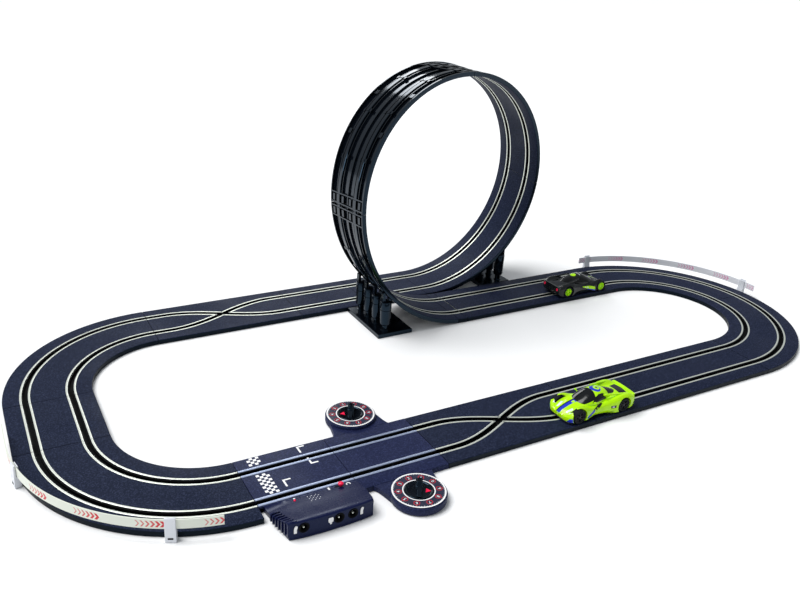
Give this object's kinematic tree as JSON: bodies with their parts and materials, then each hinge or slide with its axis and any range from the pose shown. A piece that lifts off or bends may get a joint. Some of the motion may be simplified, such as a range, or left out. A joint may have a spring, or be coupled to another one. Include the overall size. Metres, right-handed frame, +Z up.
{
  "type": "slot car track set",
  "caption": "Two-lane slot car track: flat oval with crossovers and a vertical loop on posts, control box, lap counters, curved barriers and two model cars.",
  "frame": {"origin": "middle of the outline on the floor", "axes": "+X along the front straight towards the right curve, +Y from the front straight to the loop, +Z up"},
  "size_m": [1.1626, 0.5724, 0.364],
  "materials": {
    "barrier_plastic": "off-white with red printed arrows",
    "black_paint": "dark graphite paint with printed patches",
    "black_plastic": "black",
    "box_plastic": "satin dark blue",
    "brass": "plain",
    "circuit_board": "green board",
    "clip_plastic": "light grey",
    "dial_print": "printed dial",
    "gloss_plastic": "glossy black",
    "knob_plastic": "black with a white ring",
    "lime_paint": "fluorescent lime paint with printed stripes",
    "red_plastic": "red",
    "start_plastic": "fine-grained satin",
    "steel": "plated",
    "tinted_glass": "dark tinted moulding",
    "track_plastic": "fine-grained satin",
    "tyre_rubber": "black"
  },
  "bodies": {
    "track_set": {"barrier_clip_front_left": "clip_plastic", "barrier_clip_front_right": "clip_plastic", "barrier_clip_rear_left": "clip_plastic", "barrier_clip_rear_right": "clip_plastic", "barrier_strip_front": "barrier_plastic", "barrier_strip_rear": "barrier_plastic", "buzzer": "black_plastic", "circuit_board": "circuit_board", "control_box_base": "black_plastic", "control_box_cover": "box_plastic", "counter_housing_front": "start_plastic", "counter_housing_rear": "start_plastic", "counter_scale_front": "dial_print", "counter_scale_rear": "dial_print", "counter_straight": "start_plastic", "front_crossover": "track_plastic", "front_long_straight": "track_plastic", "jack_left": "black_plastic", "jack_power": "black_plastic", "jack_right": "black_plastic", "left_curve_front": "track_plastic", "left_curve_rear": "track_plastic", "left_short_straight": "track_plastic", "loop_base_left": "gloss_plastic", "loop_base_right": "gloss_plastic", "loop_cradle_left": "gloss_plastic", "loop_cradle_right": "gloss_plastic", "loop_lower_left": "track_plastic", "loop_lower_right": "track_plastic", "loop_upper_left": "track_plastic", "loop_upper_right": "track_plastic", "power_lamp": "red_plastic", "rear_closing_straight": "track_plastic", "rear_crossover": "track_plastic", "rear_long_straight": "track_plastic", "rear_short_straight": "track_plastic", "right_curve_front": "track_plastic", "right_curve_rear": "track_plastic", "start_straight": "start_plastic"},
    "power_switch": {"power_switch_knob": "red_plastic"},
    "knob_front": {"counter_knob_front": "knob_plastic"},
    "lever_front": {"counter_lever_front": "black_plastic"},
    "knob_rear": {"counter_knob_rear": "knob_plastic"},
    "lever_rear": {"counter_lever_rear": "black_plastic"},
    "lime_car": {"lime_car_body": "lime_paint", "lime_car_cabin": "tinted_glass", "lime_car_chassis": "black_plastic", "lime_car_motor": "steel"},
    "lime_car_front_wheels_set": {"lime_car_front_wheels": "tyre_rubber"},
    "lime_car_rear_wheels_set": {"lime_car_rear_wheels": "tyre_rubber"},
    "lime_car_pinion_set": {"lime_car_pinion": "brass"},
    "lime_car_guide_set": {"lime_car_guide": "black_plastic"},
    "black_car": {"black_car_body": "black_paint", "black_car_cabin": "tinted_glass", "black_car_chassis": "black_plastic", "black_car_motor": "steel"},
    "black_car_front_wheels_set": {"black_car_front_wheels": "tyre_rubber"},
    "black_car_rear_wheels_set": {"black_car_rear_wheels": "tyre_rubber"},
    "black_car_pinion_set": {"black_car_pinion": "brass"},
    "black_car_guide_set": {"black_car_guide": "black_plastic"}
  },
  "joints": [
    {"name": "power_switch_slide", "type": "slide", "parent": "track_set", "child": "power_switch", "axis": [1, 0, 0], "range_m": [-0.004, 0]},
    {"name": "counter_knob_front_turn", "type": "hinge", "parent": "track_set", "child": "knob_front", "pos_m": [-0.21707, -0.2562, 0.01], "axis": [0, 0, 1], "continuous": true},
    {"name": "counter_lever_front_swing", "type": "hinge", "parent": "track_set", "child": "lever_front", "pos_m": [-0.21707, -0.2702, 0.0015], "axis": [0, 0, 1], "range_deg": [-4, 4]},
    {"name": "counter_knob_rear_turn", "type": "hinge", "parent": "track_set", "child": "knob_rear", "pos_m": [-0.21707, -0.0954, 0.01], "axis": [0, 0, 1], "continuous": true},
    {"name": "counter_lever_rear_swing", "type": "hinge", "parent": "track_set", "child": "lever_rear", "pos_m": [-0.21707, -0.0814, 0.0015], "axis": [0, 0, 1], "range_deg": [-4, 4]},
    {"name": "lime_car_drive", "type": "slide", "parent": "track_set", "child": "lime_car", "axis": [1, 0, 0], "range_m": [0, 0.24]},
    {"name": "lime_car_front_wheels_spin", "type": "hinge", "parent": "lime_car", "child": "lime_car_front_wheels_set", "pos_m": [0.02618, -0.2013, 0.0157], "axis": [0, 1, 0], "continuous": true},
    {"name": "lime_car_rear_wheels_spin", "type": "hinge", "parent": "lime_car", "child": "lime_car_rear_wheels_set", "pos_m": [0.09668, -0.2013, 0.0157], "axis": [0, 1, 0], "continuous": true},
    {"name": "lime_car_pinion_spin", "type": "hinge", "parent": "lime_car", "child": "lime_car_pinion_set", "pos_m": [0.08766, -0.2013, 0.01898], "axis": [0, 1, 0], "continuous": true},
    {"name": "lime_car_guide_turn", "type": "hinge", "parent": "lime_car", "child": "lime_car_guide_set", "pos_m": [0.01843, -0.2013, 0.009], "axis": [0, 0, 1], "range_deg": [-5, 5]},
    {"name": "black_car_drive", "type": "slide", "parent": "track_set", "child": "black_car", "axis": [1, 0, 0], "range_m": [-0.168, 0.012]},
    {"name": "black_car_front_wheels_spin", "type": "hinge", "parent": "black_car", "child": "black_car_front_wheels_set", "pos_m": [0.33768, 0.1067, 0.0157], "axis": [0, 1, 0], "continuous": true},
    {"name": "black_car_rear_wheels_spin", "type": "hinge", "parent": "black_car", "child": "black_car_rear_wheels_set", "pos_m": [0.26718, 0.1067, 0.0157], "axis": [0, 1, 0], "continuous": true},
    {"name": "black_car_pinion_spin", "type": "hinge", "parent": "black_car", "child": "black_car_pinion_set", "pos_m": [0.2762, 0.1067, 0.01898], "axis": [0, 1, 0], "continuous": true},
    {"name": "black_car_guide_turn", "type": "hinge", "parent": "black_car", "child": "black_car_guide_set", "pos_m": [0.34543, 0.1067, 0.009], "axis": [0, 0, 1], "range_deg": [-5, 5]}
  ],
  "couplings": [
    {"joint": "lime_car_pinion_spin", "follows": "lime_car_rear_wheels_spin", "ratio": -3},
    {"joint": "black_car_pinion_spin", "follows": "black_car_rear_wheels_spin", "ratio": -3}
  ]
}
